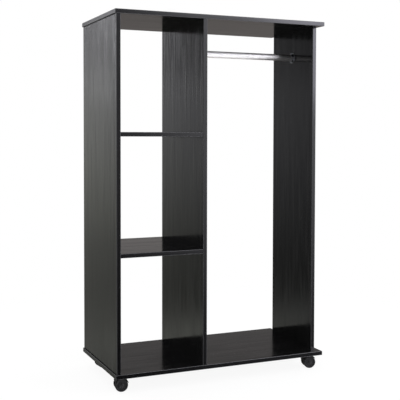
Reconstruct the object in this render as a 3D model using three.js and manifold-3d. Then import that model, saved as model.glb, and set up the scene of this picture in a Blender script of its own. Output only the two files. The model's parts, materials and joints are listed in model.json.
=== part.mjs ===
// Mobile open wardrobe: seven boards, a hanging rail in two flanges and four twin-wheel casters.
// Millimetres, +Z up, front towards -Y, origin on the floor under the middle of the wardrobe.

import * as THREE from 'three';
import { mergeVertices } from 'three/addons/utils/BufferGeometryUtils.js';
import Module from 'manifold-3d';

const wasm = await Module();
wasm.setup();

// Overall size on the casters
const WIDTH = 800;
const DEPTH = 400;
const HEIGHT = 1280;

// Boards
const BOARD = 15;
const SIDE_INSET = 4; // outer panels stand this far in from the ends of the top and base
const EDGE_INSET = 2; // full-depth uprights stand this far in from the front and rear edges
const SHELF_SETBACK = 2; // shelves stop this far short of the uprights' front and rear edges
const SHELF_BAY_WIDTH = 298; // clear width between the left panel and the divider
const RIGHT_PANEL_DEPTH = 300; // the right panel is shallower and stands in mid-depth
const BOARD_GAP = 0.2; // left where one board butts against another

// Long screws that hold the base to the uprights, from below
const LONG_SCREW_LENGTH = 50;
const LONG_SCREW_RADIUS = 3.5;
const LONG_SCREW_HEAD_RADIUS = 5;
const LONG_SCREW_RIM = 0.8; // straight rim of the countersunk head
const LONG_SCREW_TIP = 4;
const LONG_SCREW_FROM_EDGE = 60; // from the front and rear edges of each upright

// Small screws of the casters and flanges
const SCREW_LENGTH = 12; // under the head
const SCREW_RADIUS = 2;
const SCREW_HEAD_RADIUS = 2.8;
const SCREW_HEAD_HEIGHT = 1.8;
const SCREW_TIP = 3;
const SCREW_CLEARANCE = 0.3; // round every screw and past its tip
const SCREW_SEAT = 0.1; // between a head and the plate under it

// Hanging rail
const RAIL_RADIUS = 12.5;
const RAIL_WALL = 1.2;
const RAIL_DROP = 100; // underside of the top to the middle of the rail
const RAIL_END_GAP = 0.4; // between the rail's ends and the boards
const FLANGE_RADIUS = 21;
const FLANGE_THICKNESS = 2;
const FLANGE_COLLAR_WALL = 1.5;
const FLANGE_COLLAR_LENGTH = 9; // from the board
const FLANGE_SEAT = 0.1; // between a flange and its board
const RAIL_CLEARANCE = 0.3; // between the rail and the collar round it

// Casters
const CASTER_HEIGHT = 52; // floor to the underside of the base
const CASTER_INSET_X = 46; // swivel pin from the base's ends
const CASTER_INSET_Y = 48; // swivel pin from the base's front and rear edges
const CASTER_TRAIL = 13; // swivel pin to the axle, level
const PLATE_SIDE = 38;
const PLATE_CORNER = 4;
const PLATE_THICKNESS = 2;
const PLATE_SEAT = 0.1; // between a plate and the base
const PLATE_SCREW_SPACING = 28;
const PIN_RADIUS = 4;
const PIN_LENGTH = 20;
const PIN_FLANGE_RADIUS = 6.5; // the pin's own flange under the plate
const PIN_FLANGE_HEIGHT = 1;
const PIN_CLEARANCE = 0.3; // between the swivel pin and its socket
const WHEEL_RADIUS = 22.5;
const WHEEL_WIDTH = 12;
const WHEEL_FACETS = 24;
const WHEEL_SPACING = 14; // between the wheels' inner faces
const WHEEL_CLEARANCE = 0.5; // between a wheel and the fork's web
const AXLE_RADIUS = 2.5;
const AXLE_CLEARANCE = 0.3;
const AXLE_IN_WHEEL = 9; // how far the axle reaches into each wheel
const HUB_RADIUS = 7;
const TYRE_EDGE = 1.8; // chamfer of the tread
const RIM_WIDTH = 3.5; // raised rim of a wheel's outer face
const DISH_DEPTH = 1.2; // outer face inside the rim
const HOOD_GAP = 1; // between the tread and the hood
const HOOD_WALL = 1.9;
const HOOD_WIDTH = 34;
const HOOD_START = THREE.MathUtils.degToRad(15);
const HOOD_END = THREE.MathUtils.degToRad(150);
const SOCKET_RADIUS = 8;
const SOCKET_FLOOR = 1.5; // plastic left under the swivel pin

// Which way each caster stands turned, from its wheels towards its pin
const CASTERS = [
  { name: 'front_left', side: -1, end: -1, heading: THREE.MathUtils.degToRad(-8) },
  { name: 'front_right', side: 1, end: -1, heading: THREE.MathUtils.degToRad(168) },
  { name: 'rear_left', side: -1, end: 1, heading: THREE.MathUtils.degToRad(187) },
  { name: 'rear_right', side: 1, end: 1, heading: THREE.MathUtils.degToRad(155) },
];

const ROUND = 10; // facets round a screw
const RAIL_ROUND = 24; // facets round the rail and its flanges
const PIN_ROUND = 12; // facets round the pins, axles and their holes

// Places worked out from the sizes
const BASE_TOP = CASTER_HEIGHT + BOARD;
const TOP_UNDERSIDE = HEIGHT - BOARD;
const LEFT_PANEL_X = -WIDTH / 2 + SIDE_INSET + BOARD / 2;
const RIGHT_PANEL_X = WIDTH / 2 - SIDE_INSET - BOARD / 2;
const DIVIDER_X = LEFT_PANEL_X + BOARD + SHELF_BAY_WIDTH;
const UPRIGHT_DEPTH = DEPTH - 2 * EDGE_INSET;
const COMPARTMENT = (TOP_UNDERSIDE - BASE_TOP - 2 * BOARD) / 3;
const RAIL_Z = TOP_UNDERSIDE - RAIL_DROP;
const COLLAR_RADIUS = RAIL_RADIUS + RAIL_CLEARANCE + FLANGE_COLLAR_WALL;
const FLANGE_SCREW_RADIUS = (COLLAR_RADIUS + FLANGE_RADIUS) / 2; // from the rail's axis
const AXLE_Z = WHEEL_RADIUS * Math.cos(Math.PI / WHEEL_FACETS); // a flat facet rests on the floor
const HOOD_INNER = WHEEL_RADIUS + HOOD_GAP;
const HOOD_OUTER = HOOD_INNER + HOOD_WALL;
const WEB_WIDTH = WHEEL_SPACING - 2 * WHEEL_CLEARANCE;
const PLATE_UNDERSIDE = CASTER_HEIGHT - PLATE_SEAT - PLATE_THICKNESS;
const PIN_TOP = PLATE_UNDERSIDE - PLATE_SEAT;
const PIN_BOTTOM = PIN_TOP - PIN_LENGTH;

const finish = (color, roughness, metalness) =>
  new THREE.MeshStandardMaterial({ color, roughness, metalness });
const laminate = () => finish(0x1d1b1c, 0.42, 0);
const chrome = () => finish(0xd9dcdf, 0.12, 1);
const zincSteel = () => finish(0xa9abad, 0.35, 1);
const blackSteel = () => finish(0x1a1a1b, 0.45, 1);
const blackPlastic = () => finish(0x1b1b1c, 0.5, 0);

// A closed geometry as a solid that can be joined and cut
function toSolid(geometry) {
  const bare = geometry.clone();
  bare.deleteAttribute('normal');
  bare.deleteAttribute('uv');
  const merged = mergeVertices(bare);
  return new wasm.Manifold(new wasm.Mesh({
    numProp: 3,
    vertProperties: new Float32Array(merged.attributes.position.array),
    triVerts: new Uint32Array(merged.index.array),
  }));
}

function toGeometry(solid) {
  const { vertProperties, triVerts } = solid.getMesh();
  const geometry = new THREE.BufferGeometry();
  geometry.setAttribute('position', new THREE.BufferAttribute(vertProperties, 3));
  geometry.setIndex(new THREE.BufferAttribute(triVerts, 1));
  return geometry;
}

function cut(geometry, cutters) {
  return toGeometry(cutters.reduce((solid, cutter) => solid.subtract(toSolid(cutter)), toSolid(geometry)));
}

function addMesh(group, name, geometry, material, position = [0, 0, 0]) {
  const mesh = new THREE.Mesh(geometry, material);
  mesh.name = name;
  mesh.position.set(...position);
  group.add(mesh);
  return mesh;
}

// A turned solid about +Z. The profile is [radius, height] pairs from the lowest face upwards.
function turned(profile, facets) {
  const points = profile.map(([radius, height]) => new THREE.Vector2(radius, height));
  return new THREE.LatheGeometry(points, facets, Math.PI / facets).rotateX(Math.PI / 2);
}

// A round hole cutter about +Z from one height to another
function bore(radius, from, to, facets = ROUND) {
  return turned([[0, from], [radius, from], [radius, to], [0, to]], facets);
}

// A flat outline drawn in X and Z, made thick along Y about Y = 0
function thickened(shape, width, curveSegments = 10) {
  const geometry = new THREE.ExtrudeGeometry(shape, { depth: width, bevelEnabled: false, curveSegments });
  return geometry.rotateX(Math.PI / 2).translate(0, width / 2, 0);
}

// Head down, shank up from height 0
function smallScrew() {
  return turned([
    [0, -SCREW_HEAD_HEIGHT],
    [SCREW_HEAD_RADIUS * 0.65, -SCREW_HEAD_HEIGHT],
    [SCREW_HEAD_RADIUS, -SCREW_HEAD_HEIGHT * 0.45],
    [SCREW_HEAD_RADIUS, 0],
    [SCREW_RADIUS, 0],
    [SCREW_RADIUS, SCREW_LENGTH - SCREW_TIP],
    [0, SCREW_LENGTH],
  ], ROUND);
}

// Cutter for a small screw, from below its head to just past its tip
function smallScrewHole() {
  return bore(SCREW_RADIUS + SCREW_CLEARANCE, -SCREW_HEAD_HEIGHT, SCREW_LENGTH + SCREW_CLEARANCE);
}

const headCone = LONG_SCREW_HEAD_RADIUS - LONG_SCREW_RADIUS;

function longScrew() {
  return turned([
    [0, 0],
    [LONG_SCREW_HEAD_RADIUS, 0],
    [LONG_SCREW_HEAD_RADIUS, LONG_SCREW_RIM],
    [LONG_SCREW_RADIUS, LONG_SCREW_RIM + headCone],
    [LONG_SCREW_RADIUS, LONG_SCREW_LENGTH - LONG_SCREW_TIP],
    [0, LONG_SCREW_LENGTH],
  ], ROUND);
}

// Cutter for a long screw: countersink, then a straight hole to just past its tip
function longScrewHole() {
  const head = LONG_SCREW_HEAD_RADIUS + SCREW_CLEARANCE;
  const shank = LONG_SCREW_RADIUS + SCREW_CLEARANCE;
  return turned([
    [0, -1],
    [head, -1],
    [head, LONG_SCREW_RIM + SCREW_CLEARANCE],
    [shank, LONG_SCREW_RIM + SCREW_CLEARANCE + headCone],
    [shank, LONG_SCREW_LENGTH + SCREW_CLEARANCE],
    [0, LONG_SCREW_LENGTH + SCREW_CLEARANCE],
  ], ROUND);
}

// A board by its sizes and its middle, drilled by cutters given in the wardrobe's own frame
function addBoard(group, name, [width, depth, height], [x, y, z], holes = []) {
  const local = holes.map((hole) => hole.clone().translate(-x, -y, -z));
  const slab = new THREE.BoxGeometry(width, depth, height);
  addMesh(group, name, local.length ? cut(slab, local) : slab, laminate(), [x, y, z]);
}

// Where the long screws stand, two under each upright
const longScrewPlaces = [
  { upright: 'left', x: LEFT_PANEL_X, depth: UPRIGHT_DEPTH },
  { upright: 'divider', x: DIVIDER_X, depth: UPRIGHT_DEPTH },
  { upright: 'right', x: RIGHT_PANEL_X, depth: RIGHT_PANEL_DEPTH },
].flatMap(({ upright, x, depth }) => [-1, 1].map((end) => ({
  upright,
  name: `long_screw_${upright}_${end < 0 ? 'front' : 'rear'}`,
  at: [x, end * (depth / 2 - LONG_SCREW_FROM_EDGE), CASTER_HEIGHT],
})));

// Where the rail's flanges sit, and the direction from each board into the hanging bay
const flangePlaces = [
  { name: 'left', board: 'divider', x: DIVIDER_X + BOARD / 2, inward: 1 },
  { name: 'right', board: 'right', x: RIGHT_PANEL_X - BOARD / 2, inward: -1 },
];

// Turns a solid built about +Z so that its top points along X: away from the bay
function alongX(geometry, inward) {
  return geometry.rotateY(-inward * Math.PI / 2);
}

function flangeScrewAt({ x, inward }, side) {
  const head = FLANGE_SEAT + FLANGE_THICKNESS + SCREW_SEAT;
  return [x + inward * head, 0, RAIL_Z + side * FLANGE_SCREW_RADIUS];
}

const casterAt = ({ side, end }) => [
  side * (WIDTH / 2 - CASTER_INSET_X),
  end * (DEPTH / 2 - CASTER_INSET_Y),
];

const plateCorners = [[-1, -1], [1, -1], [1, 1], [-1, 1]].map(([i, j]) => [
  i * PLATE_SCREW_SPACING / 2,
  j * PLATE_SCREW_SPACING / 2,
]);

const plateScrewZ = PLATE_UNDERSIDE - SCREW_SEAT;

function buildBoards() {
  const group = new THREE.Group();
  const longHoles = (upright) => longScrewPlaces
    .filter((place) => !upright || place.upright === upright)
    .map((place) => longScrewHole().translate(...place.at));
  const flangeHoles = (board) => flangePlaces
    .filter((place) => place.board === board)
    .flatMap((place) => [-1, 1].map((side) =>
      alongX(smallScrewHole(), place.inward).translate(...flangeScrewAt(place, side))));
  const plateHoles = CASTERS.flatMap((caster) => plateCorners.map(([dx, dy]) => {
    const [x, y] = casterAt(caster);
    return smallScrewHole().translate(x + dx, y + dy, plateScrewZ);
  }));

  addBoard(group, 'top_panel', [WIDTH, DEPTH, BOARD], [0, 0, HEIGHT - BOARD / 2]);
  addBoard(group, 'base_panel', [WIDTH, DEPTH, BOARD], [0, 0, CASTER_HEIGHT + BOARD / 2],
    [...longHoles(), ...plateHoles]);

  const uprightHeight = TOP_UNDERSIDE - BASE_TOP - 2 * BOARD_GAP;
  const uprightZ = (TOP_UNDERSIDE + BASE_TOP) / 2;
  addBoard(group, 'left_side_panel', [BOARD, UPRIGHT_DEPTH, uprightHeight], [LEFT_PANEL_X, 0, uprightZ],
    longHoles('left'));
  addBoard(group, 'divider_panel', [BOARD, UPRIGHT_DEPTH, uprightHeight], [DIVIDER_X, 0, uprightZ],
    [...longHoles('divider'), ...flangeHoles('divider')]);
  addBoard(group, 'right_side_panel', [BOARD, RIGHT_PANEL_DEPTH, uprightHeight], [RIGHT_PANEL_X, 0, uprightZ],
    [...longHoles('right'), ...flangeHoles('right')]);

  const shelfSize = [SHELF_BAY_WIDTH - 2 * BOARD_GAP, UPRIGHT_DEPTH - 2 * SHELF_SETBACK, BOARD];
  const shelfX = (LEFT_PANEL_X + DIVIDER_X) / 2;
  ['lower_shelf', 'upper_shelf'].forEach((name, i) => {
    const z = BASE_TOP + (i + 1) * COMPARTMENT + (i + 0.5) * BOARD;
    addBoard(group, name, shelfSize, [shelfX, 0, z]);
  });

  longScrewPlaces.forEach(({ name, at }) => addMesh(group, name, longScrew(), zincSteel(), at));
  return group;
}

// A flange about +Z, its back at height 0 and its collar towards -Z
function flange() {
  const seat = RAIL_RADIUS + RAIL_CLEARANCE;
  const body = turned([
    [seat, -FLANGE_COLLAR_LENGTH],
    [COLLAR_RADIUS, -FLANGE_COLLAR_LENGTH],
    [COLLAR_RADIUS, -FLANGE_THICKNESS],
    [FLANGE_RADIUS, -FLANGE_THICKNESS],
    [FLANGE_RADIUS, 0],
    [seat, 0],
    [seat, -FLANGE_COLLAR_LENGTH],
  ], RAIL_ROUND);
  const hole = bore(SCREW_RADIUS + SCREW_CLEARANCE, -FLANGE_THICKNESS - 1, 1);
  const holes = [-1, 1].map((side) => hole.clone().translate(side * FLANGE_SCREW_RADIUS, 0, 0));
  return cut(body, holes);
}

function buildRail() {
  const group = new THREE.Group();
  const [left, right] = flangePlaces;
  const half = (right.x - left.x) / 2 - RAIL_END_GAP;
  const tube = turned([
    [RAIL_RADIUS - RAIL_WALL, -half],
    [RAIL_RADIUS, -half],
    [RAIL_RADIUS, half],
    [RAIL_RADIUS - RAIL_WALL, half],
    [RAIL_RADIUS - RAIL_WALL, -half],
  ], RAIL_ROUND);
  addMesh(group, 'hanging_rail', alongX(tube, -1), chrome(), [(left.x + right.x) / 2, 0, RAIL_Z]);

  flangePlaces.forEach((place) => {
    const { name, x, inward } = place;
    addMesh(group, `rail_flange_${name}`, alongX(flange(), inward), chrome(),
      [x + inward * FLANGE_SEAT, 0, RAIL_Z]);
    [[1, 'upper'], [-1, 'lower']].forEach(([side, level]) => {
      addMesh(group, `flange_screw_${name}_${level}`, alongX(smallScrew(), inward), zincSteel(),
        flangeScrewAt(place, side));
    });
  });
  return group;
}

function plate() {
  const half = PLATE_SIDE / 2;
  const inner = half - PLATE_CORNER;
  const outline = new THREE.Shape();
  outline.absarc(inner, inner, PLATE_CORNER, 0, Math.PI / 2, false);
  outline.absarc(-inner, inner, PLATE_CORNER, Math.PI / 2, Math.PI, false);
  outline.absarc(-inner, -inner, PLATE_CORNER, Math.PI, 1.5 * Math.PI, false);
  outline.absarc(inner, -inner, PLATE_CORNER, 1.5 * Math.PI, 2 * Math.PI, false);
  const slab = new THREE.ExtrudeGeometry(outline, {
    depth: PLATE_THICKNESS, bevelEnabled: false, curveSegments: 4,
  });
  const holes = plateCorners.map(([x, y]) =>
    bore(SCREW_RADIUS + SCREW_CLEARANCE, -1, PLATE_THICKNESS + 1).translate(x, y, 0));
  return cut(slab, holes);
}

// The swivel pin about +Z, its flange against the plate at height 0
function swivelPin() {
  return turned([
    [0, -PIN_LENGTH],
    [PIN_RADIUS - 0.6, -PIN_LENGTH],
    [PIN_RADIUS, -PIN_LENGTH + 1],
    [PIN_RADIUS, -PIN_FLANGE_HEIGHT],
    [PIN_FLANGE_RADIUS, -PIN_FLANGE_HEIGHT],
    [PIN_FLANGE_RADIUS, 0],
    [0, 0],
  ], PIN_ROUND);
}

// The plastic fork about the axle: a web between the wheels, a hood over them and the pin's socket
function fork() {
  const middle = (HOOD_INNER + HOOD_OUTER) / 2;
  const web = new THREE.Shape();
  web.absarc(0, 0, middle, HOOD_START, HOOD_END, false);
  web.absarc(0, 0, HUB_RADIUS, HOOD_END, HOOD_START + 2 * Math.PI, false);

  const hood = new THREE.Shape();
  hood.absarc(0, 0, HOOD_OUTER, HOOD_START, HOOD_END, false);
  hood.absarc(0, 0, HOOD_INNER, HOOD_END, HOOD_START, true);

  const socketTop = PIN_TOP - PIN_FLANGE_HEIGHT - PIN_CLEARANCE - AXLE_Z;
  const socketBottom = PIN_BOTTOM - PIN_CLEARANCE - AXLE_Z;
  const wheelRoom = [-1, 1].map((side) => {
    const room = WHEEL_WIDTH + HOOD_WIDTH;
    return turned([[0, 0], [HOOD_INNER, 0], [HOOD_INNER, room], [0, room]], 2 * WHEEL_FACETS)
      .rotateX(-side * Math.PI / 2)
      .translate(0, side * WEB_WIDTH / 2, 0);
  });
  const post = bore(SOCKET_RADIUS, socketBottom - SOCKET_FLOOR, socketTop, PIN_ROUND);
  const socket = cut(post.translate(CASTER_TRAIL, 0, 0), wheelRoom);

  const joined = toSolid(thickened(web, WEB_WIDTH))
    .add(toSolid(thickened(hood, HOOD_WIDTH, 16)))
    .add(toSolid(socket));
  const pinHole = bore(PIN_RADIUS + PIN_CLEARANCE, socketBottom, socketTop + 1, PIN_ROUND)
    .translate(CASTER_TRAIL, 0, 0);
  const axleHole = bore(AXLE_RADIUS + AXLE_CLEARANCE, -HOOD_WIDTH, HOOD_WIDTH, PIN_ROUND)
    .rotateX(Math.PI / 2);
  return cut(toGeometry(joined), [pinHole, axleHole]);
}

// A wheel about +Y, its inner face at 0 and its closed outer face towards +Y
function wheel() {
  const blind = AXLE_IN_WHEEL + AXLE_CLEARANCE;
  const hole = AXLE_RADIUS + AXLE_CLEARANCE;
  const rimInside = WHEEL_RADIUS - TYRE_EDGE - RIM_WIDTH;
  return new THREE.LatheGeometry([
    [0, blind],
    [hole, blind],
    [hole, 0],
    [WHEEL_RADIUS - TYRE_EDGE, 0],
    [WHEEL_RADIUS, TYRE_EDGE],
    [WHEEL_RADIUS, WHEEL_WIDTH - TYRE_EDGE],
    [WHEEL_RADIUS - TYRE_EDGE, WHEEL_WIDTH],
    [rimInside, WHEEL_WIDTH],
    [rimInside - DISH_DEPTH, WHEEL_WIDTH - DISH_DEPTH],
    [HUB_RADIUS, WHEEL_WIDTH - DISH_DEPTH],
    [0, WHEEL_WIDTH - DISH_DEPTH / 2],
  ].map(([radius, height]) => new THREE.Vector2(radius, height)), WHEEL_FACETS, Math.PI / WHEEL_FACETS);
}

function buildCaster(caster) {
  const { name, heading } = caster;
  const [x, y] = casterAt(caster);
  const group = new THREE.Group();
  group.position.set(x, y, 0);

  addMesh(group, `caster_plate_${name}`, plate(), blackSteel(), [0, 0, PLATE_UNDERSIDE]);
  addMesh(group, `swivel_pin_${name}`, swivelPin(), zincSteel(), [0, 0, PIN_TOP]);
  plateCorners.forEach(([dx, dy], i) => {
    addMesh(group, `caster_screw_${name}_${i + 1}`, smallScrew(), zincSteel(), [dx, dy, plateScrewZ]);
  });

  const swivel = new THREE.Group();
  swivel.rotation.z = heading;
  const wheelPair = new THREE.Group();
  wheelPair.position.set(-CASTER_TRAIL, 0, AXLE_Z);
  swivel.add(wheelPair);
  group.add(swivel);

  const axleHalf = WHEEL_SPACING / 2 + AXLE_IN_WHEEL;
  addMesh(wheelPair, `caster_fork_${name}`, fork(), blackPlastic());
  const axle = bore(AXLE_RADIUS, -axleHalf, axleHalf, PIN_ROUND).rotateX(Math.PI / 2);
  addMesh(wheelPair, `caster_axle_${name}`, axle, zincSteel());
  const towardsFront = Math.cos(heading) > 0 ? -1 : 1;
  [['front', towardsFront], ['back', -towardsFront]].forEach(([face, side]) => {
    const mesh = addMesh(wheelPair, `caster_wheel_${name}_${face}`, wheel(), blackPlastic(),
      [0, side * WHEEL_SPACING / 2, 0]);
    mesh.rotation.z = side < 0 ? Math.PI : 0;
  });
  return group;
}

const wardrobe = new THREE.Group();
wardrobe.add(buildBoards(), buildRail(), ...CASTERS.map(buildCaster));

export default wardrobe;
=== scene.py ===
"""Looks for an open mobile wardrobe of black wood-grain board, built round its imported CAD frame.

Sizes in the classes are in millimetres, in the frame's own axes. A piece's mesh is made at its
place in the frame and turned to metres when it becomes a Blender object.
"""

import json
import logging
import math
from dataclasses import dataclass
from enum import Enum
from itertools import product
from typing import Any, Callable, Optional, Sequence

import bmesh
import bpy
from mathutils import Matrix, Vector


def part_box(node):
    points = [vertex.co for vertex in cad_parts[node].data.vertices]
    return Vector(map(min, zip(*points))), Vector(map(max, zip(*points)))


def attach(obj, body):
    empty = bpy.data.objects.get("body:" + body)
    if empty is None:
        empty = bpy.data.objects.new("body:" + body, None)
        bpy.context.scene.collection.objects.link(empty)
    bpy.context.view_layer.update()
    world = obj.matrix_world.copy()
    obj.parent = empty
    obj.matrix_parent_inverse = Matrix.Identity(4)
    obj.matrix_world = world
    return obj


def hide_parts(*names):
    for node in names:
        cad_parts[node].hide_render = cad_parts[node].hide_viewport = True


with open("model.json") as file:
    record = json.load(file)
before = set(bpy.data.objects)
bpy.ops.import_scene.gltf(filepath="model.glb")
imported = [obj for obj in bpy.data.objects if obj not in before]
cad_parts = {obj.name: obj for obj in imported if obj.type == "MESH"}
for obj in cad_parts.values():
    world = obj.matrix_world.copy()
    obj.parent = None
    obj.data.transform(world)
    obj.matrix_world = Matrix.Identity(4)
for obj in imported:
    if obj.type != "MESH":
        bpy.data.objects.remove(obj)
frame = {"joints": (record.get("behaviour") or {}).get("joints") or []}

MM = 0.001
PAST = 1.0  # how far a cutter reaches beyond the face that it opens, in millimetres
LOG = logging.getLogger("wardrobe")

Point = tuple[float, float]
Place = tuple[float, float, float]
Ramp = tuple[Point, ...]
Colour = tuple[float, float, float, float]
ShaderMaker = Callable[[bpy.types.NodeTree], bpy.types.NodeSocket]


class Grain(Enum):
    """Which way the wood grain runs on a board."""

    LENGTHWISE = "x"
    UPRIGHT = "z"


class Corner(Enum):
    """The casters' places under the base."""

    FRONT_LEFT = "front_left"
    FRONT_RIGHT = "front_right"
    REAR_LEFT = "rear_left"
    REAR_RIGHT = "rear_right"


class TwinWheel(Enum):
    """A caster's two wheels."""

    FRONT = "front"
    BACK = "back"


class Axis(Enum):
    """The axes of the frame."""

    X = 0
    Y = 1
    Z = 2


class Skin(Enum):
    """The surfaces of a board, numbered as its materials are."""

    FACE = 0
    BAND = 1
    CORE = 2
    ARRIS = 3


class Joining(Enum):
    """How one solid is worked with another."""

    UNION = "UNION"
    DIFFERENCE = "DIFFERENCE"


def linear(hex_colour: str) -> Colour:
    """Turns an sRGB hex colour into the linear value that Blender's sockets take.

    Args:
        hex_colour: A colour such as "#1d1b1c".

    Returns:
        Linear red, green and blue, with an alpha of 1.
    """
    parts = [int(hex_colour[i : i + 2], 16) / 255 for i in (1, 3, 5)]
    turned = [p / 12.92 if p <= 0.04045 else ((p + 0.055) / 1.055) ** 2.4 for p in parts]
    return (turned[0], turned[1], turned[2], 1.0)


def add_node(
    tree: bpy.types.NodeTree,
    kind: str,
    settings: Optional[dict[str, Any]] = None,
    inputs: Optional[dict[Any, Any]] = None,
    stops: Sequence[Point] = (),
) -> bpy.types.Node:
    """Adds one node with its settings and links.

    Args:
        tree: The node tree of a material or of the world.
        kind: Blender's name for the kind of node, without "ShaderNode".
        settings: The node's properties and their values.
        inputs: Input sockets by name or number, each with a value or the output that feeds it.
        stops: A ramp's positions, each with its grey value.

    Returns:
        The new node.
    """
    node = tree.nodes.new(f"ShaderNode{kind}")
    for name, value in (settings or {}).items():
        setattr(node, name, value)
    for name, value in (inputs or {}).items():
        if isinstance(value, bpy.types.NodeSocket):
            tree.links.new(value, node.inputs[name])
        else:
            node.inputs[name].default_value = value
    while stops and len(node.color_ramp.elements) < len(stops):
        node.color_ramp.elements.new(1.0)
    for i, (position, grey) in enumerate(stops):
        node.color_ramp.elements[i].position = position
        node.color_ramp.elements[i].color = (grey, grey, grey, 1.0)
    return node


def finished(name: str, tree_maker: ShaderMaker) -> bpy.types.Material:
    """Makes a material once, and gives the same one to every piece that asks for it again.

    Args:
        name: The material's name.
        tree_maker: Fills an empty node tree and returns the shader's output.

    Returns:
        The material.
    """
    found = bpy.data.materials.get(name)
    if found:
        return found
    material = bpy.data.materials.new(name)
    material.use_nodes = True
    tree = material.node_tree
    tree.nodes.clear()
    add_node(tree, "OutputMaterial", inputs={"Surface": tree_maker(tree)})
    return material


@dataclass(frozen=True)
class Streaks:
    """One size of streak in a wood grain, and the noise levels at which it starts and is full."""

    width: float
    length: float
    low: float
    high: float


@dataclass(frozen=True)
class WoodGrainLaminate:
    """Particleboard faced with black melamine paper, pressed against a plate with an ash grain.

    The press leaves a hard, closed skin that mirrors at a low angle like varnish. The grain is
    pressed in a few hundredths of a millimetre deep, and shows as streaks in that mirror and as
    pores that are a little greyer than the ground.
    """

    grain: Grain
    ground: str = "#0b0b0b"
    pore: str = "#161616"
    roughness_smooth: float = 0.1
    roughness_pore: float = 0.19
    ior: float = 1.5
    # Real pores are 0.3 mm wide and too fine to show, so a whole cluster of them is drawn as one
    pores: Streaks = Streaks(9.0, 130.0, 0.42, 0.68)
    # The darker and paler bands of the wood's rings, and where those bands show or fade
    rings: Streaks = Streaks(24.0, 260.0, 0.4, 0.64)
    figure: Streaks = Streaks(85.0, 800.0, 0.1, 0.6)
    pore_share: float = 0.5  # how strong the pores are beside the rings
    relief: float = 0.14  # deeper than real, because the streaks are drawn wider

    def stretch(self, streaks: Streaks) -> Place:
        """Turns the size of a streak into the noise's scale along each axis.

        Args:
            streaks: The streaks.

        Returns:
            The scale along X, Y and Z.
        """
        across, along = 1 / (streaks.width * MM), 1 / (streaks.length * MM)
        if self.grain is Grain.LENGTHWISE:
            return (along, across, across)
        return (across, across, along)

    def shader(self, tree: bpy.types.NodeTree) -> bpy.types.NodeSocket:
        """Fills the material's node tree.

        Args:
            tree: The empty tree.

        Returns:
            The shader's output.
        """
        place = add_node(tree, "TexCoord").outputs["Object"]
        levels = []
        for streaks in (self.pores, self.rings, self.figure):
            stretched = add_node(tree, "VectorMath", {"operation": "MULTIPLY"},
                                 {0: place, 1: self.stretch(streaks)})
            noise = add_node(tree, "TexNoise", {}, {
                "Vector": stretched.outputs[0], "Scale": 1.0, "Detail": 2.0, "Roughness": 0.55,
                "Distortion": 0.25})
            level = add_node(tree, "MapRange", {"interpolation_type": "SMOOTHSTEP"}, {
                "Value": noise.outputs[0], "From Min": streaks.low, "From Max": streaks.high})
            levels.append(level.outputs[0])
        rings = add_node(tree, "Math", {"operation": "MULTIPLY"}, {0: levels[1], 1: levels[2]})
        pores = add_node(tree, "Math", {"operation": "MULTIPLY_ADD"},
                         {0: levels[0], 1: self.pore_share, 2: rings.outputs[0]})
        colour = add_node(tree, "Mix", {"data_type": "RGBA"},
                          {0: pores.outputs[0], 6: linear(self.ground), 7: linear(self.pore)})
        roughness = add_node(tree, "MapRange", {}, {
            "Value": pores.outputs[0], "To Min": self.roughness_smooth,
            "To Max": self.roughness_pore})
        relief = add_node(tree, "Bump", {}, {"Height": pores.outputs[0], "Strength": 1.0,
                                             "Distance": self.relief * MM})
        shader = add_node(tree, "BsdfPrincipled", {}, {
            "Base Color": colour.outputs[2], "Roughness": roughness.outputs[0], "IOR": self.ior,
            "Normal": relief.outputs[0]})
        return shader.outputs[0]

    def material(self) -> bpy.types.Material:
        """The finish as a material."""
        return finished(f"pressed_wood_grain_laminate_{self.grain.value}", self.shader)


@dataclass(frozen=True)
class EdgeBand:
    """Black ABS edge band, extruded and glued on. It is smooth, with a faint ripple along it."""

    name: str
    colour: str
    # The marks' second tone. On the arrises both tones are part of the painted highlight
    worn: str
    roughness: float
    ripple: float = 14.0  # from one wave that the glue leaves to the next
    unevenness: float = 0.03  # how far the roughness varies either way
    relief: float = 0.02
    ior: float = 1.54

    def shader(self, tree: bpy.types.NodeTree) -> bpy.types.NodeSocket:
        """Fills the material's node tree.

        Args:
            tree: The empty tree.

        Returns:
            The shader's output.
        """
        place = add_node(tree, "TexCoord").outputs["Object"]
        marks = add_node(tree, "TexNoise", {},
                         {"Vector": place, "Scale": 1 / (self.ripple * MM), "Detail": 2.0})
        colour = add_node(tree, "Mix", {"data_type": "RGBA"},
                          {0: marks.outputs[0], 6: linear(self.colour), 7: linear(self.worn)})
        roughness = add_node(tree, "MapRange", {}, {
            "Value": marks.outputs[0], "To Min": self.roughness - self.unevenness,
            "To Max": self.roughness + self.unevenness})
        relief = add_node(tree, "Bump", {}, {"Height": marks.outputs[0], "Strength": 1.0,
                                             "Distance": self.relief * MM})
        shader = add_node(tree, "BsdfPrincipled", {}, {
            "Base Color": colour.outputs[2], "Roughness": roughness.outputs[0], "IOR": self.ior,
            "Normal": relief.outputs[0]})
        return shader.outputs[0]

    def material(self) -> bpy.types.Material:
        """The finish as a material."""
        return finished(self.name, self.shader)


# The band as extruded: closed and dark, a little cooler than the faces
EXTRUDED_BAND = EdgeBand("extruded_abs_edge_band", "#060607", "#0b0b0d", 0.17)
# Its rounded arrises get a paler colour, a painted highlight: they draw the thin light line that
# light catching each rounded edge would give
PAINTED_ARRIS_HIGHLIGHT = EdgeBand("abs_arris_painted_highlight", "#454547", "#565658", 0.4, ripple=5.0)


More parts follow.
